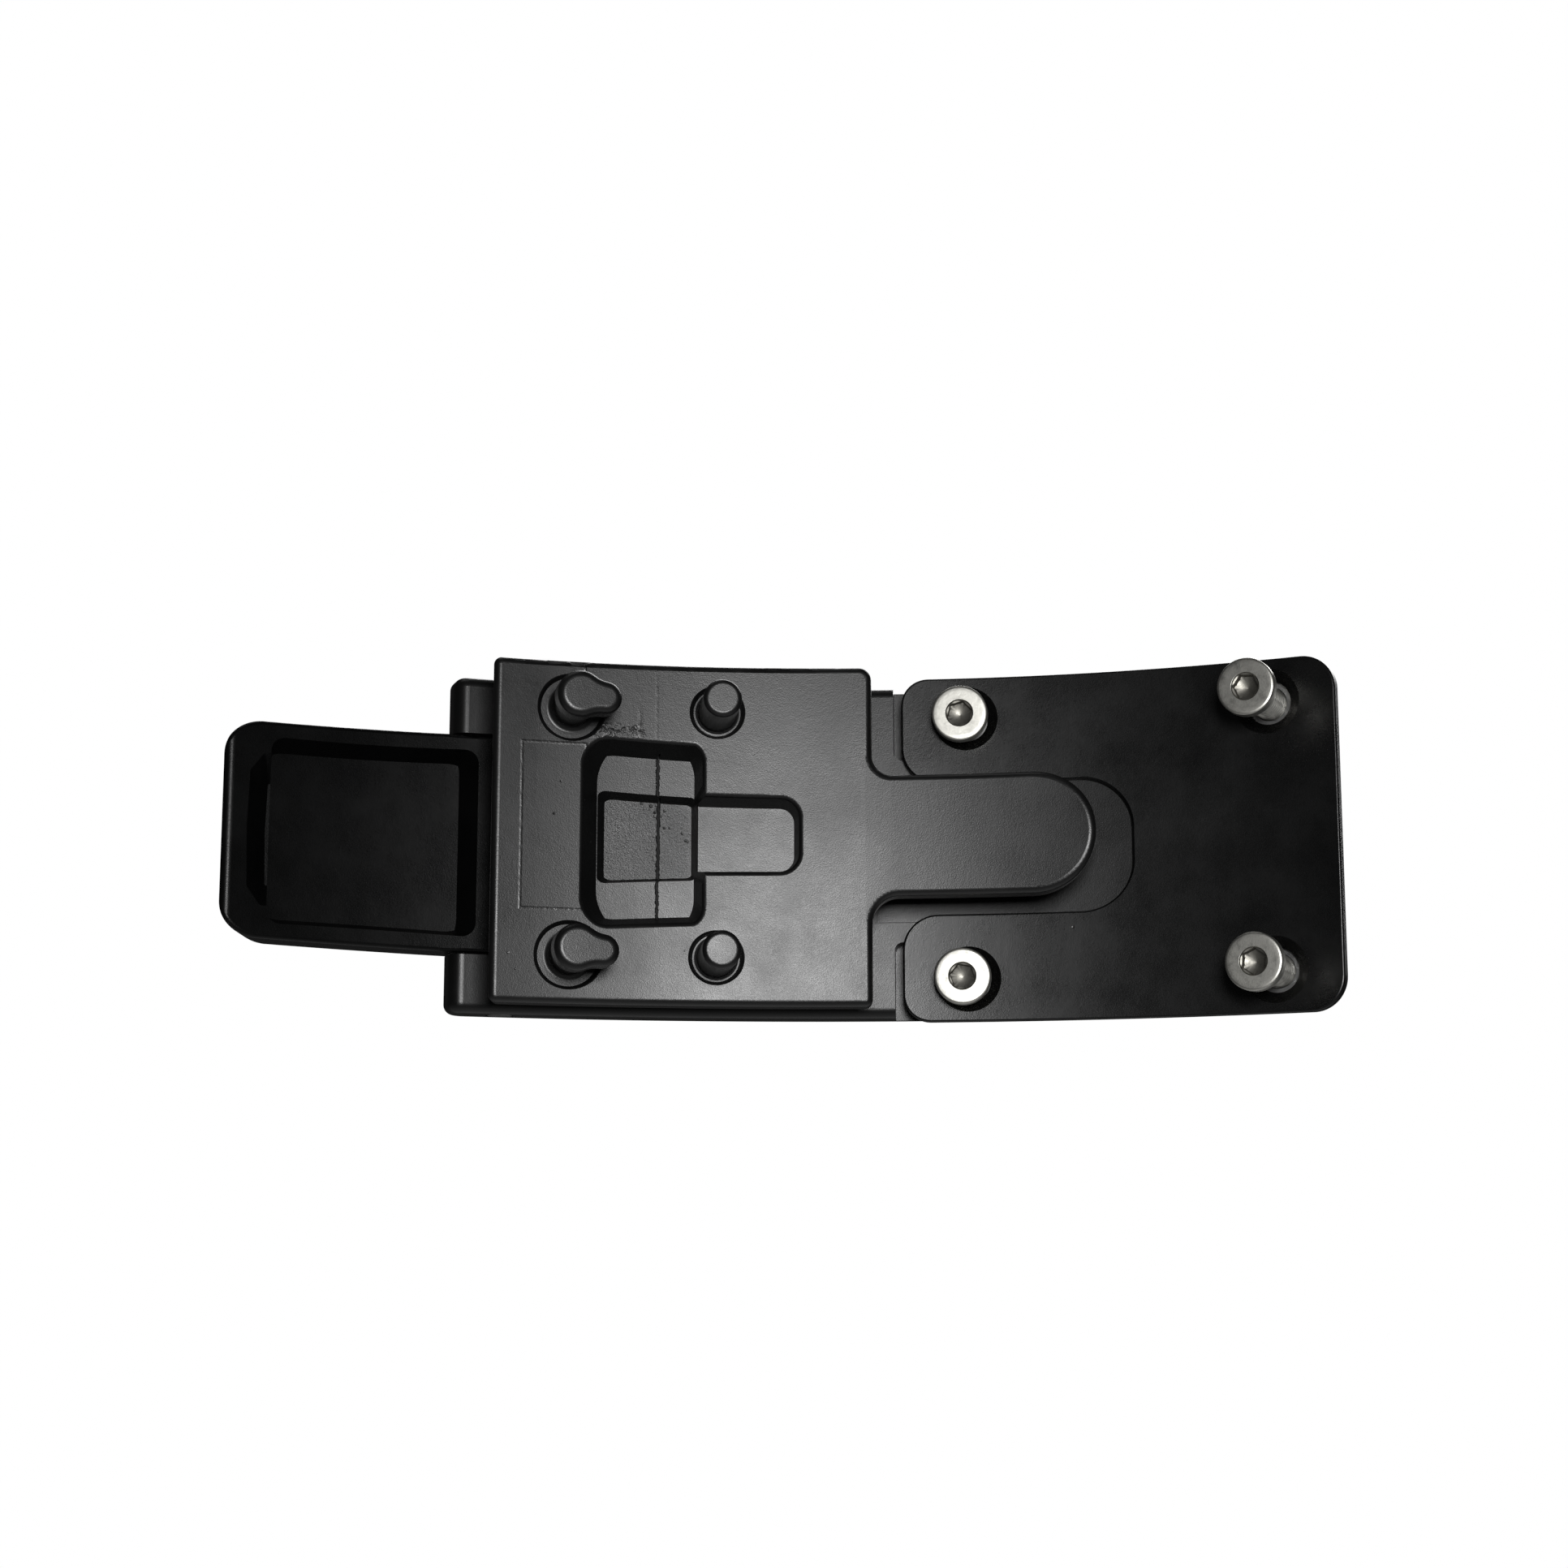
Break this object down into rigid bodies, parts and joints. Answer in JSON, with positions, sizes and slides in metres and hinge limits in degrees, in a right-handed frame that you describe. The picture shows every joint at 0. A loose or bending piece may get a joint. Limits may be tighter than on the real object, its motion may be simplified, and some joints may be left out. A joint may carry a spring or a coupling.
{
  "type": "lever belt buckle",
  "caption": "Curved quick-adjust lever buckle for a wide training belt: folding lever, hook plate with prongs and posts, screw-on backing plate.",
  "frame": {"origin": "centre of the four belt screws on the frame's belt seat", "axes": "+Z across the belt, up as worn; X along the belt, the lever's tip at -X; -Y faces the wearer"},
  "size_m": [0.1929, 0.0485, 0.062],
  "materials": {
    "powder_coat": "satin black powder coat",
    "coated_plate": "matt black coated steel plate",
    "zinc_steel": "bright zinc-plated steel",
    "pin_steel": "ground steel pin"
  },
  "bodies": {
    "base": {"base_frame": "powder_coat", "backing_plate": "coated_plate", "lever_pivot_pin": "pin_steel", "belt_screw_near_upper": "zinc_steel", "belt_screw_near_lower": "zinc_steel", "belt_screw_far_upper": "zinc_steel", "belt_screw_far_lower": "zinc_steel", "thread_insert_near_upper": "zinc_steel", "thread_insert_near_lower": "zinc_steel", "thread_insert_far_upper": "zinc_steel", "thread_insert_far_lower": "zinc_steel"},
    "lever": {"lever_handle": "powder_coat", "hook_pivot_pin": "pin_steel"},
    "hook": {"hook_plate": "powder_coat"}
  },
  "joints": [
    {"name": "lever_pivot", "type": "hinge", "parent": "base", "child": "lever", "pos_m": [-0.10952, 0.00398, 0], "axis": [0, 0, -1], "range_deg": [0, 150]},
    {"name": "hook_pivot", "type": "hinge", "parent": "lever", "child": "hook", "pos_m": [-0.09824, 0.00809, 0], "axis": [0, 0, -1], "range_deg": [-150, 0]}
  ],
  "couplings": [
    {"joint": "hook_pivot", "follows": "lever_pivot", "ratio": -1}
  ]
}
